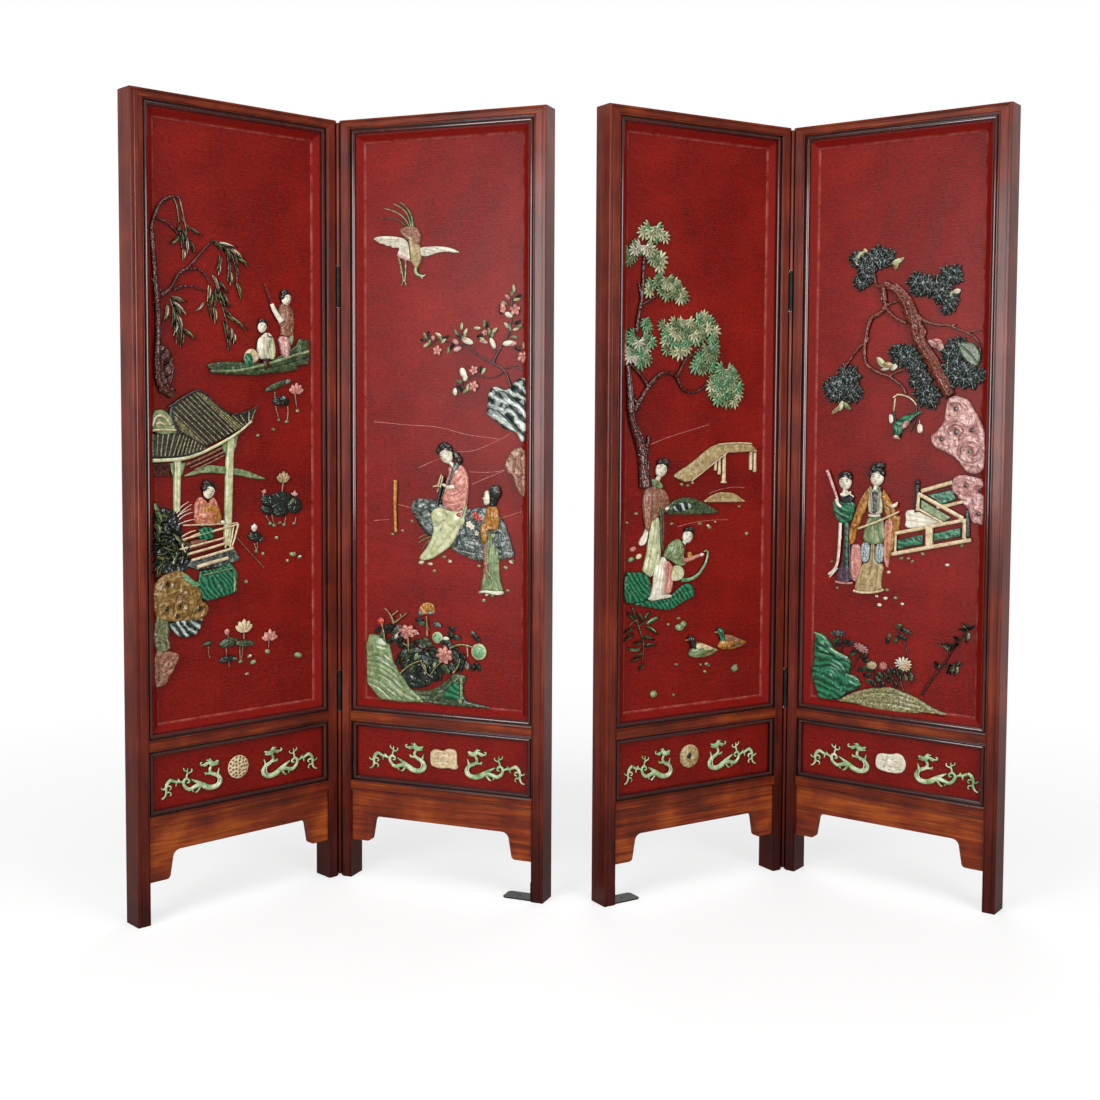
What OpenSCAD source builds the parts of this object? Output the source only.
// Four-leaf lacquer screen: two free-standing hinged pairs of framed leaves with hardstone inlay.
// Millimetres, +Z up, the front faces -Y. The origin is on the floor, in the middle of the plan.

/* [Leaf] */
// Width of each leaf
leaf_w = 534; // [440:1:660]
// Height of each leaf
leaf_h = 1830; // [1520:1:2200]
// Thickness of each leaf, front to back
leaf_t = 55; // [45:1:70]

/* [Frame] */
// Width of a stile's face
stile_w = 30; // [25:0.5:40]
// Height of the top rail's face
top_rail_h = 22; // [18:0.5:32]
// Height of the middle rail's face
mid_rail_h = 24; // [20:0.5:32]
// Height of the lower rail's face
low_rail_h = 23.5; // [20:0.5:32]
// Floor to the lower rail's underside
low_rail_z = 217; // [180:1:260]
// Clear height of the lower opening
low_open_h = 146.5; // [120:0.5:180]
// Diameter of the bead along the inner arrises
bead_d = 3; // [2:0.1:4]
// Width of the quirk beside that bead
quirk_w = 1; // [0.6:0.1:2]
// Width of the roll along the outer arrises
roll_w = 7; // [5:0.1:9]
// Width of the cove beside the roll
cove_w = 4; // [3:0.1:6]
// Depth of that cove
cove_d = 1.2; // [0.6:0.1:2]
// Radius of the outer arris
arris_r = 2; // [1:0.1:3]
// Wood left at a stile's back by each tenon
tenon_wall = 10; // [6:0.5:14]
// Clearance round a tenon or a tongue
joint_gap = 0.2; // [0.1:0.05:0.4]

/* [Apron] */
// Thickness of the apron
apron_t = 18; // [12:0.5:22]
// Depth of the apron's face behind the frame's face
apron_set = 6; // [3:0.5:9]
// Height of the apron's straight middle part
apron_h = 61; // [40:1:80]
// Height of the spandrels at the apron's ends
spandrel_h = 124; // [90:1:150]
// Width of a spandrel at its foot
spandrel_w = 52; // [40:1:70]
// Slope of a spandrel's inner edge, out across its height
spandrel_slope = 6; // [0:1:12]
// Radius where the spandrel meets the middle part
arch_r = 18; // [10:1:26]
// Radius of the spandrel's lower corner
toe_r = 10; // [5:1:14]
// Length of the apron's tongues
apron_tongue = 6; // [4:0.5:8]
// Thickness of the apron's tongues
apron_tongue_t = 8; // [5:0.5:10]

/* [Boards and slips] */
// Depth of the board groove's front wall behind the frame's face
groove_y = 12; // [10:0.5:14]
// Width of the board groove
groove_t = 12; // [9:0.5:13]
// Depth of the board groove into the frame
groove_d = 8; // [5:0.5:10]
// Depth of the picture board's lip behind the frame's face
lip_y = 9; // [7:0.5:10]
// Width of that lip beside the bead slip
lip_w = 4; // [2:0.5:8]
// Width of the sloping margin round the picture field
bevel_w = 18; // [12:0.5:24]
// Depth of the picture field behind the lip
field_d = 12; // [8:0.5:14]
// Thickness of the picture board behind its field
field_wall = 12; // [8:0.5:14]
// Width of a bead slip
slip_w = 12; // [9:0.5:16]
// Width of the quirk between a slip's bead and the frame
slip_quirk = 3; // [2:0.25:4]
// Depth of a slip's crown behind the frame's face
slip_set = 2; // [1:0.25:4]
// Thickness of the back board
back_t = 6; // [4:0.5:8]
// Depth of the back board's rebate
back_rebate = 9; // [6:0.5:12]
// Width of the back board's rebate
back_lap = 6; // [4:0.5:10]
// Depth of a slip's shoulder behind its crown
slip_shoulder = 4; // [2:0.25:5]
// Clearance round a board in its opening
board_gap = 0.3; // [0.1:0.05:0.6]
// Gap at a slip's mitres
mitre_gap = 0.2; // [0.1:0.05:0.4]

/* [Hinges] */
// Length of each butt hinge
hinge_l = 90; // [70:1:110]
// Hinge pin diameter
pin_d = 5; // [4:0.1:6]
// Barrel diameter
barrel_d = 9; // [8:0.1:10]
// Running clearance round the pin
pin_gap = 0.05; // [0.02:0.01:0.1]
// Thickness of a hinge plate
plate_t = 2; // [1.5:0.1:3]
// Width of a hinge plate
plate_w = 29; // [22:0.5:34]
// Gap between two knuckles
knuckle_gap = 0.4; // [0.2:0.05:0.8]
// Distance of the pin's axis in front of the leaf's face
pin_out = 0.6; // [0.4:0.05:1]
// Distance of the pin's axis beside the leaf's edge
pin_side = 0.75; // [0.5:0.05:1.5]
// Top of the leaf to the middle of the upper hinge
hinge_drop = 394; // [200:1:500]
// Middle rail to the middle of the lower hinge
hinge_lift = 47; // [46:1:90]
// Room beside the barrel in the hinged arris's rebate
barrel_side_room = 2.25; // [0.5:0.05:4]
// Room behind the barrel in that rebate
barrel_back_room = 1.1; // [0.5:0.05:3]
// Room between a hinge plate and the turning knuckles
knuckle_room = 0.6; // [0.4:0.05:1]
// Radius of the round nose that closes the hinge line, on the left leaf of each pair
nose_r = 4; // [3:0.1:4.4]
// Room between the ends of that nose and a hinge
nose_room = 2; // [1:0.1:4]
// Room between the nose and the floor, and the top rail's mitre
nose_end = 6; // [5:0.1:12]
// Screw shank diameter
screw_d = 3.5; // [3:0.1:4]
// Screw head diameter
screw_head_d = 7; // [6:0.1:8]
// Clearance round a screw
screw_gap = 0.1; // [0.05:0.01:0.2]
// Wood left between a hinge screw's tip and the board groove
screw_wall = 5; // [3:0.5:8]

/* [Floor brackets] */
// Length of the bracket's foot
bracket_l = 74; // [50:1:100]
// Width of the bracket
bracket_w = 45; // [34:1:50]
// Thickness of the bracket
bracket_t = 3; // [2:0.5:5]
// Height of the bracket's upright leg
bracket_h = 44; // [30:1:60]
// Diameter of the floor-screw hole
bracket_hole_d = 5; // [4:0.1:7]
// Chamfer at the bracket's free corners
bracket_chamfer = 6; // [3:0.5:10]
// Length of the bracket's wood screws
bracket_screw_l = 16; // [12:1:20]

/* [Stance] */
// Turn of leaf A out of the plan's width
turn_a = 43.4; // [10:0.1:60]
// Turn of leaf B out of the plan's width
turn_b = 21.5; // [10:0.1:60]
// Turn of leaf C out of the plan's width
turn_c = 31.6; // [10:0.1:60]
// Turn of leaf D out of the plan's width
turn_d = 36.3; // [10:0.1:60]
// Step across the plan from leaf B's free front corner to leaf C's
pair_dx = 143.17; // [110:0.01:400]
// Step towards the back from leaf B's free front corner to leaf C's
pair_dy = -20.76; // [-80:0.01:40]

/* [Inlay] */
// Highest relief of the picture inlay
relief = 11; // [6:0.5:12]
// Relief of the lower board's inlay
dragon_relief = 4; // [2:0.5:7]
// Diameter of the lower board's medallion
medallion_d = 52; // [40:1:60]
// Width of a scroll of the lower board's inlay
scroll_w = 7; // [5:0.5:10]
// Distance of the inlay from the picture field's edge
art_margin = 1; // [0.5:0.5:6]

/* [Hidden] */

// Heights of the frame's members
low_rail_top = low_rail_z + low_rail_h;
mid_rail_z = low_rail_top + low_open_h;
mid_rail_top = mid_rail_z + mid_rail_h;
top_rail_z = leaf_h - top_rail_h;
open_w = leaf_w - 2 * stile_w;
picture_h = top_rail_z - mid_rail_top;

// Depths behind the frame's face
rebate_y = leaf_t - back_rebate;
field_y = lip_y + field_d;
board_back_y = field_y + field_wall;
board_face_y = groove_y + joint_gap;
groove_back_y = groove_y + groove_t;
tenon_web = rebate_y - groove_back_y;
tenon_t = tenon_web / 2;
tenon_y = groove_back_y + tenon_web / 4;
tenon_l = stile_w - tenon_wall;
tenon_shoulder = 3;
tenon_end_gap = 1;
apron_tongue_y = apron_set + (apron_t - apron_tongue_t) / 2;

// The picture field inside its sloping margin
field_in = slip_w + lip_w + bevel_w;
field_w = open_w - 2 * field_in;
field_h = picture_h - 2 * field_in;
field_x = stile_w + field_in;
field_z = mid_rail_top + field_in;

// Hinge layout
knuckles = 5;
knuckle_l = hinge_l / knuckles;
barrel_rebate_w = barrel_d / 2 - pin_side + barrel_side_room;
barrel_rebate_d = barrel_d / 2 - pin_out + barrel_back_room;
plate_y = barrel_d / 2 - pin_out + knuckle_room;
bore_wall = 0.4;
tongue_y = pin_d / 2 - pin_out + bore_wall;
hinge_zs = [mid_rail_top + hinge_lift, leaf_h - hinge_drop];
hinge_screw_l = stile_w - groove_d - screw_wall;
hinge_screws = [[-0.36, 0.66], [0, 0.42], [0.36, 0.66]];
slot_w = 0.9;
slot_d = 0.8;
head_t = 1.8;
screw_tip_l = 3;
screw_tip_d = 0.6;
pin_tip_l = 3;
pin_tip_step = 0.8;

// The plan: each leaf is [hinge line, turn, side], with side -1 to the left of its hinge line
left_pin = [0, 0];
place_a = [left_pin, turn_a, -1];
place_b = [left_pin, turn_b, 1];
// The right pair is set by the step between the free corners, however wide the leaves are
right_pin = plan_point(place_b, leaf_w, 0) + [pair_dx, pair_dy]
    - plan_point([left_pin, turn_c, -1], leaf_w, 0);
place_c = [right_pin, turn_c, -1];
place_d = [right_pin, turn_d, 1];
function plan_point(place, x, y) = place[0] + [
    place[2] * ((x + pin_side) * cos(place[1]) + (y + pin_out) * sin(place[1])),
    (y + pin_out) * cos(place[1]) - (x + pin_side) * sin(place[1])
];
plan_corners = [
    for (place = [place_a, place_b, place_c, place_d])
        for (x = [0, leaf_w])
            for (y = [0, leaf_t])
                plan_point(place, x, y)
];
plan_x = [for (corner = plan_corners) corner[0]];
plan_y = [for (corner = plan_corners) corner[1]];
// The foremost point lies on the rounded front arris of an outer stile
plan_front = [
    for (place = [place_a, place_b, place_c, place_d])
        plan_point(place, leaf_w - arris_r, arris_r)[1] - arris_r
];
plan_mid = [(min(plan_x) + max(plan_x)) / 2, (min(plan_front) + max(plan_y)) / 2];

// Colours of the woods, lacquer, metals and stones
frame_wood = "#4a1512";
rail_wood = "#5e2314";
apron_wood = "#7a3413";
slip_wood = "#3a0f0d";
lacquer = "#8a1518";
back_lacquer = "#1c1110";
iron = "#22221f";
pale_jade = "#cfd3a8";
green_jade = "#4f8a5a";
dark_jade = "#1f3a2c";
amber_stone = "#8a5420";
pink_stone = "#c98f84";
brown_wood = "#5a2a1c";

// Puts a leaf drawn with its hinged edge at x = 0 into the plan
module in_plan(place) {
    translate([-plan_mid[0], -plan_mid[1], 0])
        translate([place[0][0], place[0][1], 0])
            rotate([0, 0, -place[2] * place[1]])
                mirror([place[2] < 0 ? 1 : 0, 0, 0])
                    translate([pin_side, pin_out, 0])
                        children();
}

// The same leaf's frame as seen from the front, with x to the viewer's right
module in_view(place) {
    in_plan(place)
        if (place[2] < 0)
            translate([leaf_w, 0, 0])
                mirror([1, 0, 0])
                    children();
        else
            children();
}

// ---- Frame ----

function arc(cx, cy, r, from, to, steps) = [
    for (i = [0:steps])
        let (a = from + (to - from) * i / steps)
            [cx + r * cos(a), cy + r * sin(a)]
];

// Outlines run from the near edge's back corner over the face to the far edge's back corner
function roll_edge(depth, k) = concat(
    [[0, depth]],
    arc(arris_r * k, arris_r, arris_r * k, 180, 270, 4),
    [[roll_w * k, 0], [(roll_w + cove_w * 0.3) * k, cove_d], [(roll_w + cove_w * 0.7) * k, cove_d]],
    [[(roll_w + cove_w) * k, 0]]
);
function hinge_edge(depth) = [
    [0, depth],
    [0, barrel_rebate_d],
    [barrel_rebate_w, barrel_rebate_d],
    [barrel_rebate_w, 1],
    [barrel_rebate_w + 1, 0]
];
function near_bead(depth) = concat(
    [[0, depth]],
    arc(bead_d / 2, bead_d / 2, bead_d / 2, 180, 360, 8),
    [[bead_d + quirk_w, 0]]
);
function far_bead(width, depth) = concat(
    [[width - bead_d - quirk_w, 0]],
    arc(width - bead_d / 2, bead_d / 2, bead_d / 2, 180, 360, 8),
    [[width, depth]]
);

// A rail's blank: the outline's width hangs down from z, along the leaf
module rail_blank(outline, z, x0, x1) {
    translate([x0, 0, z])
        rotate([0, 90, 0])
            linear_extrude(x1 - x0)
                polygon(outline);
}

// A rail's two tenons
module tenons(z, height) {
    for (x = [stile_w - tenon_l, leaf_w - stile_w - 1])
        translate([x, tenon_y, z + tenon_shoulder])
            cube([tenon_l + 1, tenon_t, height - 2 * tenon_shoulder]);
}

// The room that they need in the left stile
module mortises() {
    for (rail = [[low_rail_z, low_rail_h], [mid_rail_z, mid_rail_h], [top_rail_z, top_rail_h]])
        translate([
            stile_w - tenon_l - tenon_end_gap,
            tenon_y - joint_gap,
            rail[0] + tenon_shoulder - joint_gap
        ])
            cube([
                tenon_l + tenon_end_gap + 1,
                tenon_t + 2 * joint_gap,
                rail[1] - 2 * tenon_shoulder + 2 * joint_gap
            ]);
}

// The wedge of the top corner that belongs to the top rail
module mitre_wedge() {
    translate([0, leaf_t + 1, 0])
        rotate([90, 0, 0])
            linear_extrude(leaf_t + 2)
                polygon([
                    [-1, leaf_h + top_rail_h / stile_w],
                    [stile_w + 1, top_rail_z - top_rail_h / stile_w],
                    [stile_w + 1, leaf_h + 2],
                    [-1, leaf_h + 2]
                ]);
}

module hinge_mortises() {
    for (z = hinge_zs) {
        translate([-1, plate_y - joint_gap, z - hinge_l / 2 - joint_gap])
            cube([plate_t + 1, plate_w + 2 * joint_gap, hinge_l + 2 * joint_gap]);
        for (place = hinge_screws)
            translate([0, plate_y + plate_w * place[1], z + hinge_l * place[0]])
                rotate([0, 90, 0])
                    cylinder(d = screw_d + 2 * screw_gap, h = hinge_screw_l + 0.5, $fn = 24);
    }
}

module board_grooves() {
    for (span = [[low_rail_top, mid_rail_z], [mid_rail_top, top_rail_z]])
        translate([stile_w - groove_d, groove_y, span[0] - groove_d])
            cube([groove_d + 1, groove_t, span[1] - span[0] + 2 * groove_d]);
}

module apron_groove() {
    translate([
        stile_w - apron_tongue - joint_gap,
        apron_tongue_y - joint_gap,
        low_rail_z - spandrel_h + toe_r - joint_gap
    ])
        cube([apron_tongue + joint_gap + 1, apron_tongue_t + 2 * joint_gap, spandrel_h - toe_r + joint_gap]);
}

// A stile with its outer edge at x = 0 and its inner edge at x = stile_w
module stile(edge, hinged) {
    difference() {
        linear_extrude(leaf_h)
            polygon(concat(edge, far_bead(stile_w, leaf_t)));
        mitre_wedge();
        board_grooves();
        apron_groove();
        translate([stile_w - back_lap, rebate_y, low_rail_top - back_lap])
            cube([back_lap + 1, back_rebate + 1, top_rail_z - low_rail_top + 2 * back_lap]);
        mortises();
        if (hinged)
            hinge_mortises();
    }
}

// A round nose on the pin's axis, so that no light shows through however the leaves are turned
module hinge_nose() {
    clear = hinge_l / 2 + pin_tip_l + nose_room;
    for (span = [
        [nose_end, hinge_zs[0] - clear],
        [hinge_zs[0] + clear, hinge_zs[1] - clear],
        [hinge_zs[1] + clear, leaf_h - nose_end]
    ])
        translate([0, 0, span[0]])
            linear_extrude(span[1] - span[0]) {
                translate([-pin_side, -pin_out])
                    circle(r = nose_r, $fn = 48);
                translate([0, nose_r / 2 - pin_out])
                    square([nose_r * 0.7, barrel_rebate_d - nose_r / 2 + pin_out + 0.5]);
            }
}

module inner_stile(place) {
    color(frame_wood)
        in_plan(place)
            if (place[2] < 0)
                union() {
                    stile(hinge_edge(leaf_t), true);
                    hinge_nose();
                }
            else
                stile(hinge_edge(leaf_t), true);
}

module outer_stile(place, bracket) {
    color(frame_wood)
        in_plan(place)
            difference() {
                translate([leaf_w, 0, 0])
                    mirror([1, 0, 0])
                        stile(roll_edge(leaf_t, 1), false);
                if (bracket)
                    bracket_pilots();
            }
}

module top_rail(place) {
    color(frame_wood)
        in_plan(place)
            difference() {
                union() {
                    intersection() {
                        rail_blank(
                            concat(roll_edge(leaf_t, top_rail_h / stile_w), far_bead(top_rail_h, leaf_t)),
                            leaf_h, 0, leaf_w
                        );
                        union() {
                            mitre_wedge();
                            translate([stile_w, -1, top_rail_z - 1])
                                cube([leaf_w - 2 * stile_w, leaf_t + 2, top_rail_h + 2]);
                            translate([leaf_w, 0, 0])
                                mirror([1, 0, 0])
                                    mitre_wedge();
                        }
                    }
                    tenons(top_rail_z, top_rail_h);
                }
                translate([stile_w - groove_d, groove_y, top_rail_z - 1])
                    cube([open_w + 2 * groove_d, groove_t, groove_d + 1]);
                translate([stile_w - back_lap, rebate_y, top_rail_z - 1])
                    cube([open_w + 2 * back_lap, back_rebate + 1, back_lap + 1]);
                translate([-1, -1, top_rail_z - 1])
                    cube([barrel_rebate_w + 1, barrel_rebate_d + 1, top_rail_h + 2]);
            }
}

module middle_rail(place) {
    color(rail_wood)
        in_plan(place) {
            difference() {
                union() {
                    rail_blank(
                        concat(near_bead(rebate_y), far_bead(mid_rail_h, rebate_y)),
                        mid_rail_top, stile_w, leaf_w - stile_w
                    );
                    tenons(mid_rail_z, mid_rail_h);
                }
                translate([stile_w - 1, groove_y, mid_rail_z - 1])
                    cube([open_w + 2, groove_t, groove_d + 1]);
                translate([stile_w - 1, groove_y, mid_rail_top - groove_d])
                    cube([open_w + 2, groove_t, groove_d + 1]);
            }
        }
}

module lower_rail(place) {
    color(rail_wood)
        in_plan(place)
            difference() {
                union() {
                    rail_blank(
                        concat(near_bead(leaf_t), far_bead(low_rail_h, leaf_t)),
                        low_rail_top, stile_w, leaf_w - stile_w
                    );
                    tenons(low_rail_z, low_rail_h);
                }
                translate([stile_w - 1, groove_y, low_rail_top - groove_d])
                    cube([open_w + 2, groove_t, groove_d + 1]);
                translate([stile_w - 1, rebate_y, low_rail_top - back_lap])
                    cube([open_w + 2, back_rebate + 1, back_lap + 1]);
                translate([
                    stile_w - 1,
                    apron_tongue_y - joint_gap,
                    low_rail_z - 1
                ])
                    cube([open_w + 2, apron_tongue_t + 2 * joint_gap, apron_tongue + joint_gap + 1]);
            }
}

// Left half of the apron's lower edge, from the middle to the stile
apron_foot_x = stile_w + spandrel_w;
apron_head_x = apron_foot_x + spandrel_slope;
function apron_half() = concat(
    arc(apron_head_x + arch_r, low_rail_z - apron_h - arch_r, arch_r, 90, 180, 6),
    arc(apron_foot_x - toe_r, low_rail_z - spandrel_h + toe_r, toe_r, 0, -90, 5),
    [[stile_w, low_rail_z - spandrel_h]]
);

module apron(place) {
    half = apron_half();
    count = len(half);
    color(apron_wood)
        in_plan(place) {
            translate([0, apron_set + apron_t, 0])
                rotate([90, 0, 0])
                    linear_extrude(apron_t)
                        polygon(concat(
                            half,
                            [[stile_w, low_rail_z], [leaf_w - stile_w, low_rail_z]],
                            [for (i = [count - 1:-1:0]) [leaf_w - half[i][0], half[i][1]]]
                        ));
            translate([stile_w, apron_tongue_y, low_rail_z - 1])
                cube([open_w, apron_tongue_t, apron_tongue + 1]);
            for (x = [stile_w - apron_tongue, leaf_w - stile_w - 1])
                translate([
                    x,
                    apron_tongue_y,
                    low_rail_z - spandrel_h + toe_r
                ])
                    cube([apron_tongue + 1, apron_tongue_t, spandrel_h - toe_r - joint_gap]);
        }
}

// ---- Slips and boards ----

// A slip lies along x from 0, its back on y = seat_y and its edge on z = 0
module slip(length, seat_y) {
    crown_w = slip_w - slip_quirk;
    crown_r = crown_w * 0.62;
    crown_x = (slip_w + slip_quirk) / 2;
    half_angle = asin(crown_w / 2 / crown_r);
    shoulder_y = slip_set + slip_shoulder;
    outline = concat(
        [[0, seat_y], [0, shoulder_y], [slip_quirk, shoulder_y]],
        arc(crown_x, slip_set + crown_r, crown_r, 270 - half_angle, 270 + half_angle, 6),
        [[slip_w, seat_y]]
    );
    intersection() {
        mirror([0, 0, 1])
            rotate([0, 90, 0])
                linear_extrude(length)
                    polygon(outline);
        translate([0, leaf_t, 0])
            rotate([90, 0, 0])
                linear_extrude(2 * leaf_t)
                    polygon([
                        [mitre_gap, 0],
                        [length - mitre_gap, 0],
                        [length - slip_w - mitre_gap, slip_w],
                        [slip_w + mitre_gap, slip_w]
                    ]);
    }
}

module slip_ring(z, height, seat_y) {
    translate([stile_w, 0, z]) {
        slip(open_w, seat_y);
        translate([0, 0, height])
            mirror([0, 0, 1])
                slip(open_w, seat_y);
        mirror([1, 0, -1])
            slip(height, seat_y);
        translate([open_w, 0, 0])
            mirror([1, 0, 0])
                mirror([1, 0, -1])
                    slip(height, seat_y);
    }
}

module bead_slips(place) {
    color(slip_wood)
        in_plan(place) {
            slip_ring(mid_rail_top, picture_h, lip_y);
            slip_ring(low_rail_top, low_open_h, board_face_y);
        }
}

// The pocket of the picture field: two crossed prisms with sloping sides
module field_wedge(length, width) {
    rise = 1;
    slope = bevel_w / field_d;
    linear_extrude(length)
        polygon([
            [field_in, field_y],
            [width - field_in, field_y],
            [width - field_in + (field_d + rise) * slope, lip_y - rise],
            [field_in - (field_d + rise) * slope, lip_y - rise]
        ]);
}

module picture_board(place) {
    body_in = board_gap;
    tongue_out = groove_d - tenon_end_gap;
    color(lacquer)
        in_plan(place)
            difference() {
                union() {
                    translate([stile_w + body_in, lip_y, mid_rail_top + body_in])
                        cube([open_w - 2 * body_in, board_back_y - lip_y, picture_h - 2 * body_in]);
                    translate([stile_w - tongue_out, board_face_y, mid_rail_top - tongue_out])
                        cube([
                            open_w + 2 * tongue_out,
                            groove_t - 2 * joint_gap,
                            picture_h + 2 * tongue_out
                        ]);
                }
                intersection() {
                    translate([stile_w, 0, mid_rail_top])
                        field_wedge(picture_h, open_w);
                    translate([stile_w, 0, mid_rail_top])
                        mirror([1, 0, -1])
                            field_wedge(open_w, picture_h);
                }
            }
}

module lower_board(place) {
    tongue_out = groove_d - tenon_end_gap;
    color(lacquer)
        in_plan(place)
            translate([stile_w - tongue_out, board_face_y, low_rail_top - tongue_out])
                cube([
                    open_w + 2 * tongue_out,
                    groove_t - 2 * joint_gap,
                    low_open_h + 2 * tongue_out
                ]);
}

module back_board(place) {
    color(back_lacquer)
        in_plan(place)
            translate([
                stile_w - back_lap + board_gap,
                rebate_y,
                low_rail_top - back_lap + board_gap
            ])
                cube([
                    open_w + 2 * back_lap - 2 * board_gap,
                    back_t,
                    top_rail_z - low_rail_top + 2 * back_lap - 2 * board_gap
                ]);
}

// ---- Hinges and screws ----

// A countersunk wood screw along +x, its head flush at x = 0
module wood_screw(length) {
    rotate([0, 90, 0])
        difference() {
            union() {
                cylinder(d1 = screw_head_d, d2 = screw_d, h = head_t, $fn = 24);
                cylinder(d = screw_d, h = length - screw_tip_l, $fn = 24);
                translate([0, 0, length - screw_tip_l])
                    cylinder(d1 = screw_d, d2 = screw_tip_d, h = screw_tip_l, $fn = 24);
            }
            translate([-slot_w / 2, -screw_head_d, -1])
                cube([slot_w, 2 * screw_head_d, slot_d + 1]);
        }
}

// The hole that such a screw passes through in a plate
module screw_hole(depth) {
    rotate([0, 90, 0]) {
        cylinder(d = screw_d + 2 * screw_gap, h = depth + 1, $fn = 24);
        translate([0, 0, -0.01])
            cylinder(d1 = screw_head_d + 2 * screw_gap, d2 = screw_d + 2 * screw_gap, h = head_t, $fn = 24);
    }
}

// The plates on one leaf, with the knuckles that it owns
module hinge_plates(place, own) {
    color(iron)
        in_plan(place)
            for (z = hinge_zs)
                translate([0, 0, z])
                    difference() {
                        union() {
                            translate([0, plate_y, -hinge_l / 2])
                                cube([plate_t, plate_w, hinge_l]);
                            for (k = own)
                                translate([0, 0, -hinge_l / 2 + k * knuckle_l + knuckle_gap / 2]) {
                                    translate([-pin_side, -pin_out, 0])
                                        cylinder(d = barrel_d, h = knuckle_l - knuckle_gap, $fn = 48);
                                    translate([0, tongue_y, 0])
                                        cube([plate_t, plate_y - tongue_y + 1, knuckle_l - knuckle_gap]);
                                }
                        }
                        translate([-pin_side, -pin_out, -hinge_l])
                            cylinder(d = pin_d + 2 * pin_gap, h = 2 * hinge_l, $fn = 48);
                        for (spot = hinge_screws)
                            translate([0, plate_y + plate_w * spot[1], hinge_l * spot[0]])
                                screw_hole(plate_t);
                    }
}

module hinge_pins(pin) {
    color(iron)
        translate([pin[0] - plan_mid[0], pin[1] - plan_mid[1], 0])
            for (z = hinge_zs)
                translate([0, 0, z]) {
                    translate([0, 0, -hinge_l / 2 - 1])
                        cylinder(d = pin_d, h = hinge_l + 2, $fn = 48);
                    for (side = [-1, 1])
                        translate([0, 0, side * (hinge_l + pin_tip_l) / 2])
                            cylinder(d = barrel_d - 2 * pin_tip_step, h = pin_tip_l, center = true, $fn = 48);
                }
}

bracket_y = (leaf_t - bracket_w) / 2;
bracket_screws = [[0.27, 0.36], [0.73, 0.72]];
module bracket_pilots() {
    for (spot = bracket_screws)
        translate([
            leaf_w - stile_w - 1,
            bracket_y + bracket_w * spot[0],
            bracket_h * spot[1]
        ])
            rotate([0, 90, 0])
                cylinder(d = screw_d + 2 * screw_gap, h = bracket_screw_l, $fn = 24);
}

module floor_bracket(place) {
    foot_x = leaf_w - stile_w;
    color(iron)
        in_plan(place)
            difference() {
                union() {
                    translate([foot_x, bracket_y, 0])
                        linear_extrude(bracket_t)
                            polygon([
                                [0, 0],
                                [-bracket_l + bracket_chamfer, 0],
                                [-bracket_l, bracket_chamfer],
                                [-bracket_l, bracket_w - bracket_chamfer],
                                [-bracket_l + bracket_chamfer, bracket_w],
                                [0, bracket_w]
                            ]);
                    translate([foot_x - bracket_t, bracket_y, 0])
                        cube([bracket_t, bracket_w, bracket_h]);
                }
                translate([foot_x - bracket_l / 2, bracket_y + bracket_w / 2, -1])
                    cylinder(d = bracket_hole_d, h = bracket_t + 2, $fn = 48);
                for (spot = bracket_screws)
                    translate([
                        foot_x - bracket_t,
                        bracket_y + bracket_w * spot[0],
                        bracket_h * spot[1]
                    ])
                        screw_hole(bracket_t);
            }
}

module leaf_screws(place, bracket) {
    color(iron)
        in_plan(place) {
            for (z = hinge_zs)
                for (spot = hinge_screws)
                    translate([0, plate_y + plate_w * spot[1], z + hinge_l * spot[0]])
                        wood_screw(hinge_screw_l);
            if (bracket)
                for (spot = bracket_screws)
                    translate([
                        leaf_w - stile_w - bracket_t,
                        bracket_y + bracket_w * spot[0],
                        bracket_h * spot[1]
                    ])
                        wood_screw(bracket_screw_l);
        }
}

// ---- Inlay ----
// The motifs are laid out on a field of art_w by art_h, from its lower left corner

art_w = 404;
art_h = 1329;

// Carries a motif to its place on the picture field and gives it its relief
module on_field(u, v, share, tone) {
    color(tone)
        translate([
            field_x + u * field_w / art_w,
            field_y,
            field_z + v * field_h / art_h
        ])
            rotate([90, 0, 0])
                linear_extrude(relief * share)
                    children();
}

// Keeps the inlay inside the field
module clipped_to_field() {
    intersection() {
        translate([field_x + art_margin, field_y - relief - 1, field_z + art_margin])
            cube([field_w - 2 * art_margin, relief + 1, field_h - 2 * art_margin]);
        union()
            children();
    }
}

function blob(w, h, lobes, swell, turn) = [
    for (i = [0:23])
        let (a = i * 15, r = 0.5 * (1 + swell * sin(lobes * a + turn)))
            [w * r * cos(a), h * r * sin(a)]
];

// A tapering band along a path of chosen points
function unit(v) = v / norm(v);
function path_normal(path, i) =
    let (
        last = len(path) - 1,
        step = path[min(i + 1, last)] - path[max(i - 1, 0)],
        along = unit(step)
    )
    [-along[1], along[0]];
function band(path, w0, w1) =
    let (last = len(path) - 1)
    concat(
        [for (i = [0:last]) path[i] + path_normal(path, i) * (w0 + (w1 - w0) * i / last) / 2],
        [for (i = [last:-1:0]) path[i] - path_normal(path, i) * (w0 + (w1 - w0) * i / last) / 2]
    );

module rock(w, h, lobes = 5, turn = 0) {
    polygon(blob(w, h, lobes, 0.12, turn));
}

module flower(d) {
    polygon(blob(d, d, 5, 0.22, 90));
}

// A hanging branch: out from its root at the trunk, then down to a point
module hanging_branch(out, drop, w) {
    polygon([
        [0, w / 2],
        [out, -drop * 0.22],
        [out + w * 0.2, -drop],
        [out - w, -drop * 0.34],
        [0, -w / 2]
    ]);
}

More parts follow.
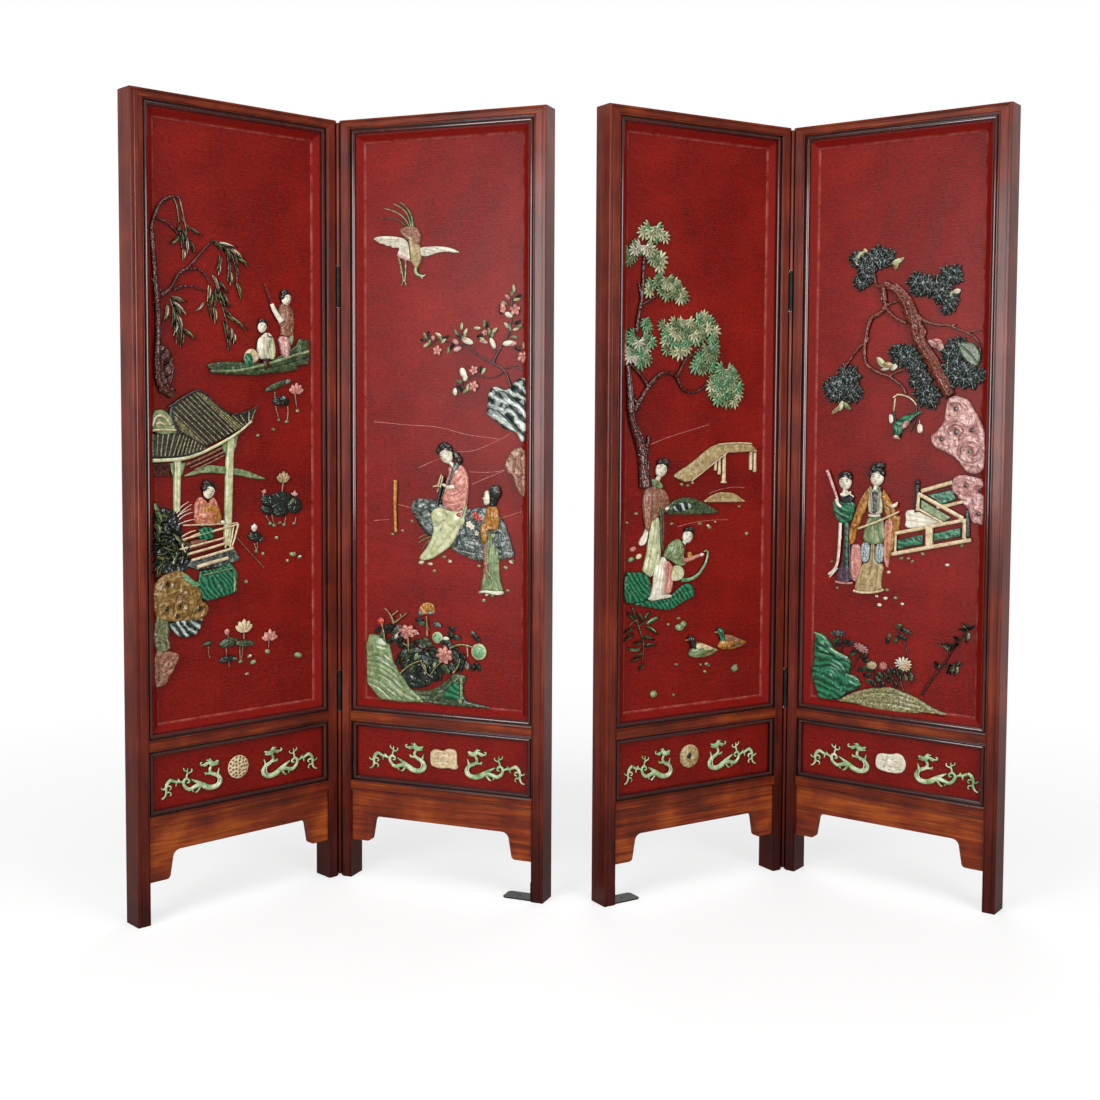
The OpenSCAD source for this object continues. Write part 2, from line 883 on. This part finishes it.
// A robed figure: skirt, body, head and hair, its feet on v = 0
module figure(h, skirt) {
    polygon([
        [-skirt / 2, 0], [skirt / 2, 0], [skirt * 0.3, h * 0.45], [h * 0.14, h * 0.62],
        [h * 0.1, h * 0.84], [-h * 0.1, h * 0.84], [-h * 0.14, h * 0.62], [-skirt * 0.3, h * 0.45]
    ]);
    translate([0, h * 0.9])
        circle(r = h * 0.065, $fn = 24);
    translate([h * 0.01, h * 0.975])
        circle(r = h * 0.035, $fn = 24);
}

module seated_figure(h, lap) {
    polygon([
        [-lap / 2, 0], [lap / 2, 0], [lap * 0.42, h * 0.3], [h * 0.18, h * 0.45],
        [h * 0.14, h * 0.76], [-h * 0.14, h * 0.76], [-h * 0.2, h * 0.4]
    ]);
    translate([0, h * 0.86])
        circle(r = h * 0.1, $fn = 24);
}

module lotus(h, pad) {
    polygon(band([[0, 0], [pad * 0.1, h * 0.5], [0, h]], 4, 3));
    translate([0, h])
        flower(pad * 0.7);
    translate([-pad * 0.3, h * 0.55])
        polygon(blob(pad, pad * 0.5, 3, 0.1, 0));
}

// A pointed leaf at an angle from its root, within an oval of reach by rise
module frond(angle, reach, rise, w) {
    polygon(band([[0, 0], [0.45 * reach * cos(angle), 0.55 * rise * sin(angle)],
        [reach * cos(angle), rise * sin(angle)]], w, w / 3));
}

module pebbles(spots, d) {
    for (spot = spots)
        translate(spot)
            circle(d = d, $fn = 16);
}

module posts(count, step, w, h) {
    for (i = [0:count - 1])
        translate([i * step - w / 2, 0])
            square([w, h]);
}

// A: willow, boat, lotus water, pavilion, palms and rocks
module picture_a() {
    on_field(12, 720, 0.8, brown_wood)
        polygon(band([[0, 0], [4, 90], [26, 150], [22, 250], [-4, 330], [6, 400], [34, 436]], 22, 9));
    for (i = [0:5])
        on_field(34 + 22 * i, 1140 - 8 * i * i * 0.5, 0.4, dark_jade)
            hanging_branch(24, 170 + 30 * sin(i * 140), 11);
    on_field(138, 800, 0.6, dark_jade)
        polygon([[0, 0], [30, -14], [150, -2], [240, 24], [236, 40], [120, 20], [2, 12]]);
    on_field(268, 806, 0.9, pale_jade)
        seated_figure(92, 60);
    on_field(330, 828, 0.9, pale_jade)
        figure(148, 50);
    for (spot = [
        [342, 680, 80], [280, 440, 110], [360, 440, 100], [232, 390, 30],
        [130, 100, 90], [205, 130, 100], [290, 120, 90]
    ])
        on_field(spot[0], spot[1], 0.6, pink_stone)
            lotus(spot[2], 34);
    on_field(0, 566, 0.9, dark_jade)
        polygon([[0, 0], [120, 30], [216, 44], [250, 128], [180, 150], [104, 176], [60, 140], [20, 60]]);
    for (u = [22, 50, 176])
        on_field(u, 400, 0.8, pale_jade)
            square([9, 200]);
    on_field(124, 420, 0.95, amber_stone)
        seated_figure(108, 84);
    on_field(70, 384, 0.7, pale_jade) {
        posts(6, 26, 6, 44);
        square([190, 6]);
        translate([0, 36])
            square([190, 6]);
    }
    on_field(130, 330, 0.9, green_jade)
        rock(170, 130, 4, 30);
    for (i = [0:6])
        on_field(4, 420, 0.6, dark_jade)
            frond(i * 22 - 40, 100, 96, 12);
    on_field(48, 230, 1, amber_stone)
        rock(128, 150, 5, 20);
    on_field(22, 110, 0.9, dark_jade)
        rock(80, 110, 4, 70);
    on_field(0, 0, 0.35, amber_stone)
        pebbles([[130, 640], [260, 620], [310, 600], [250, 520], [320, 380], [190, 240], [300, 250]], 9);
}

// B: bird, blossom and marbled rock, seated player with an attendant, peony garden
module picture_b() {
    on_field(88, 1090, 0.7, pale_jade) {
        polygon([[-70, 10], [0, 24], [40, 0], [150, -10], [60, -26], [30, -60], [10, -20], [-40, -10]]);
        polygon(band([[10, 20], [40, 60], [20, 100]], 34, 12));
    }
    on_field(404, 980, 0.6, brown_wood)
        polygon(band([[0, 0], [-60, -60], [-110, -110], [-180, -110], [-240, -130]], 12, 4));
    for (i = [0:8])
        on_field(178 + 26 * i, 868 + 26 * sin(i * 97) + 10 * i, 0.6, pink_stone)
            flower(30);
    on_field(370, 720, 1, dark_jade)
        rock(110, 150, 4, 20);
    on_field(395, 560, 0.8, amber_stone)
        rock(60, 120, 4, 80);
    on_field(262, 420, 0.6, dark_jade)
        rock(250, 110, 3, 10);
    on_field(214, 346, 1, pale_jade)
        figure(276, 130);
    on_field(334, 270, 0.9, amber_stone)
        figure(250, 70);
    on_field(76, 398, 0.6, brown_wood)
        square([10, 132]);
    on_field(60, 58, 0.9, green_jade)
        rock(150, 150, 4, 60);
    on_field(130, 18, 0.7, green_jade)
        rock(240, 60, 3, 40);
    for (spot = [[110, 150], [160, 190], [200, 150], [240, 120], [280, 160], [130, 215], [290, 100]])
        on_field(spot[0], spot[1], 0.8, pink_stone)
            flower(46);
    for (spot = [[120, 120], [190, 100], [250, 70], [180, 200]])
        on_field(spot[0], spot[1], 0.6, dark_jade)
            rock(60, 50, 5, 0);
    on_field(0, 0, 0.35, amber_stone)
        pebbles([[90, 300], [130, 320], [180, 310], [230, 300], [280, 290], [60, 330]], 8);
}

// C: broad-leaved tree, bridge, reader and kneeling figure, ducks
module picture_c() {
    on_field(34, 370, 0.8, brown_wood)
        polygon(band([[0, 0], [4, 180], [-6, 300], [4, 420], [26, 540], [34, 690]], 26, 10));
    on_field(60, 900, 0.6, brown_wood)
        polygon(band([[0, 0], [60, -20], [120, -70], [190, -110]], 12, 6));
    for (spot = [
        [60, 1100, 90], [28, 1040, 70], [110, 1040, 60], [104, 960, 90], [40, 870, 90],
        [175, 880, 110], [230, 930, 90], [270, 760, 90], [210, 820, 90], [310, 700, 60]
    ])
        on_field(spot[0], spot[1], 0.8, green_jade)
            rock(spot[2], spot[2] * 0.62, 6, spot[0]);
    on_field(140, 530, 0.7, pale_jade) {
        polygon([[0, 0], [80, 70], [240, 92], [244, 76], [92, 52], [14, -12]]);
        translate([90, 0])
            posts(4, 46, 7, 70);
    }
    on_field(240, 470, 0.5, green_jade)
        rock(230, 60, 3, 20);
    on_field(90, 300, 0.7, green_jade)
        rock(200, 120, 4, 20);
    on_field(74, 316, 1, amber_stone)
        figure(284, 84);
    on_field(152, 250, 1, pink_stone)
        seated_figure(184, 120);
    on_field(200, 300, 0.7, pale_jade)
        polygon(band([[0, 0], [30, 10], [46, 50]], 12, 6));
    for (i = [0:4])
        on_field(40, 110, 0.6, green_jade)
            frond(i * 32 + 10, 52, 100, 12);
    for (spot = [[214, 134], [300, 150]])
        on_field(spot[0], spot[1], 0.7, amber_stone)
            polygon(blob(56, 30, 3, 0.14, 40));
    on_field(0, 0, 0.35, amber_stone)
        pebbles([[120, 230], [180, 210], [240, 120], [330, 200], [120, 60], [200, 80]], 8);
}

// D: pine-like tree with a perched bird, rose quartz rocks, balustrade, two ladies, garden
module picture_d() {
    on_field(228, 1000, 0.8, brown_wood)
        polygon(band([[0, 0], [20, -80], [60, -130], [110, -200], [130, -240]], 26, 16));
    on_field(270, 880, 0.7, brown_wood)
        polygon(band([[0, 0], [-60, -10], [-130, 10], [-190, -60]], 16, 8));
    for (spot = [
        [50, 1070, 90], [120, 1030, 80], [160, 1050, 70], [240, 1000, 80], [320, 970, 80],
        [300, 870, 80], [350, 820, 100], [90, 870, 60], [75, 765, 80], [225, 830, 60], [380, 760, 70]
    ])
        on_field(spot[0], spot[1], 0.7, dark_jade)
            rock(spot[2], spot[2] * 0.6, 5, spot[1]);
    on_field(228, 660, 0.6, green_jade)
        polygon(blob(34, 90, 3, 0.2, 0));
    on_field(345, 640, 1, pink_stone)
        rock(130, 160, 5, 10);
    on_field(385, 500, 1, pink_stone)
        rock(90, 120, 4, 60);
    on_field(214, 372, 0.7, pale_jade) {
        polygon([[0, 0], [90, 12], [178, 50], [178, 96], [90, 70], [0, 62]]);
        polygon([[20, 70], [90, 150], [150, 164], [150, 140], [96, 124], [40, 62]]);
    }
    on_field(166, 256, 1, amber_stone)
        figure(322, 96);
    on_field(78, 282, 0.9, green_jade)
        figure(276, 90);
    on_field(40, 60, 0.9, green_jade)
        rock(140, 170, 4, 80);
    on_field(200, 20, 0.5, pale_jade)
        rock(260, 70, 3, 30);
    for (spot = [[90, 130], [140, 150], [190, 120], [230, 150], [250, 90]])
        on_field(spot[0], spot[1], 0.7, pale_jade)
            lotus(36, 34);
    on_field(270, 30, 0.6, brown_wood)
        polygon(band([[0, 0], [40, 70], [90, 130], [120, 190]], 10, 4));
    on_field(0, 0, 0.35, amber_stone)
        pebbles([[60, 250], [120, 240], [220, 235], [260, 300], [300, 280]], 8);
}

// One chi dragon of the lower board: a body in a wave, a coiled tail and a head
function scroll_path(length, rise) = [
    for (i = [0:20])
        [length * i / 20, rise * sin(i * 32) * (1 - i / 50)]
];
module chi_dragon(length, rise) {
    polygon(band(scroll_path(length, rise), scroll_w * 0.5, scroll_w));
    translate([length, 0])
        polygon(blob(scroll_w * 3, scroll_w * 2.2, 3, 0.16, 0));
    for (step = [0.2, 0.45, 0.7])
        translate([length * step, rise * sin(step * 640) * (1 - step * 0.4)])
            polygon(blob(scroll_w * 2.4, scroll_w * 3.2, 4, 0.2, 40));
}

module dragon_inlay(place) {
    reach = open_w / 2 - slip_w - medallion_d / 2;
    start = 16;
    rise = low_open_h * 0.13;
    color(pale_jade)
        in_view(place)
            translate([leaf_w / 2, board_face_y, low_rail_top + low_open_h / 2])
                rotate([90, 0, 0])
                    linear_extrude(dragon_relief) {
                        circle(d = medallion_d, $fn = 48);
                        for (side = [0, 1])
                            mirror([side, 0])
                                translate([-medallion_d / 2 - reach + start, 0])
                                    chi_dragon(reach - start - 24, rise);
                    }
}

module picture_inlay(place, picture) {
    in_view(place)
        clipped_to_field() {
            if (picture == "a")
                picture_a();
            if (picture == "b")
                picture_b();
            if (picture == "c")
                picture_c();
            if (picture == "d")
                picture_d();
        }
}

// ---- The parts ----

outer_stile(place_a, false);  // leaf_a_outer_stile
inner_stile(place_a);  // leaf_a_inner_stile
top_rail(place_a);  // leaf_a_top_rail
middle_rail(place_a);  // leaf_a_middle_rail
lower_rail(place_a);  // leaf_a_lower_rail
apron(place_a);  // leaf_a_apron
bead_slips(place_a);  // leaf_a_bead_slips
picture_board(place_a);  // leaf_a_picture_board
lower_board(place_a);  // leaf_a_lower_board
back_board(place_a);  // leaf_a_back_board
picture_inlay(place_a, "a");  // leaf_a_picture_inlay
dragon_inlay(place_a);  // leaf_a_dragon_inlay
leaf_screws(place_a, false);  // leaf_a_screws
outer_stile(place_b, true);  // leaf_b_outer_stile
inner_stile(place_b);  // leaf_b_inner_stile
top_rail(place_b);  // leaf_b_top_rail
middle_rail(place_b);  // leaf_b_middle_rail
lower_rail(place_b);  // leaf_b_lower_rail
apron(place_b);  // leaf_b_apron
bead_slips(place_b);  // leaf_b_bead_slips
picture_board(place_b);  // leaf_b_picture_board
lower_board(place_b);  // leaf_b_lower_board
back_board(place_b);  // leaf_b_back_board
picture_inlay(place_b, "b");  // leaf_b_picture_inlay
dragon_inlay(place_b);  // leaf_b_dragon_inlay
leaf_screws(place_b, true);  // leaf_b_screws
outer_stile(place_c, true);  // leaf_c_outer_stile
inner_stile(place_c);  // leaf_c_inner_stile
top_rail(place_c);  // leaf_c_top_rail
middle_rail(place_c);  // leaf_c_middle_rail
lower_rail(place_c);  // leaf_c_lower_rail
apron(place_c);  // leaf_c_apron
bead_slips(place_c);  // leaf_c_bead_slips
picture_board(place_c);  // leaf_c_picture_board
lower_board(place_c);  // leaf_c_lower_board
back_board(place_c);  // leaf_c_back_board
picture_inlay(place_c, "c");  // leaf_c_picture_inlay
dragon_inlay(place_c);  // leaf_c_dragon_inlay
leaf_screws(place_c, true);  // leaf_c_screws
outer_stile(place_d, false);  // leaf_d_outer_stile
inner_stile(place_d);  // leaf_d_inner_stile
top_rail(place_d);  // leaf_d_top_rail
middle_rail(place_d);  // leaf_d_middle_rail
lower_rail(place_d);  // leaf_d_lower_rail
apron(place_d);  // leaf_d_apron
bead_slips(place_d);  // leaf_d_bead_slips
picture_board(place_d);  // leaf_d_picture_board
lower_board(place_d);  // leaf_d_lower_board
back_board(place_d);  // leaf_d_back_board
picture_inlay(place_d, "d");  // leaf_d_picture_inlay
dragon_inlay(place_d);  // leaf_d_dragon_inlay
leaf_screws(place_d, false);  // leaf_d_screws
hinge_plates(place_a, [0, 2, 4]);  // left_hinge_plates_a
hinge_plates(place_b, [1, 3]);  // left_hinge_plates_b
hinge_pins(left_pin);  // left_hinge_pins
hinge_plates(place_c, [0, 2, 4]);  // right_hinge_plates_c
hinge_plates(place_d, [1, 3]);  // right_hinge_plates_d
hinge_pins(right_pin);  // right_hinge_pins
floor_bracket(place_b);  // left_floor_bracket
floor_bracket(place_c);  // right_floor_bracket
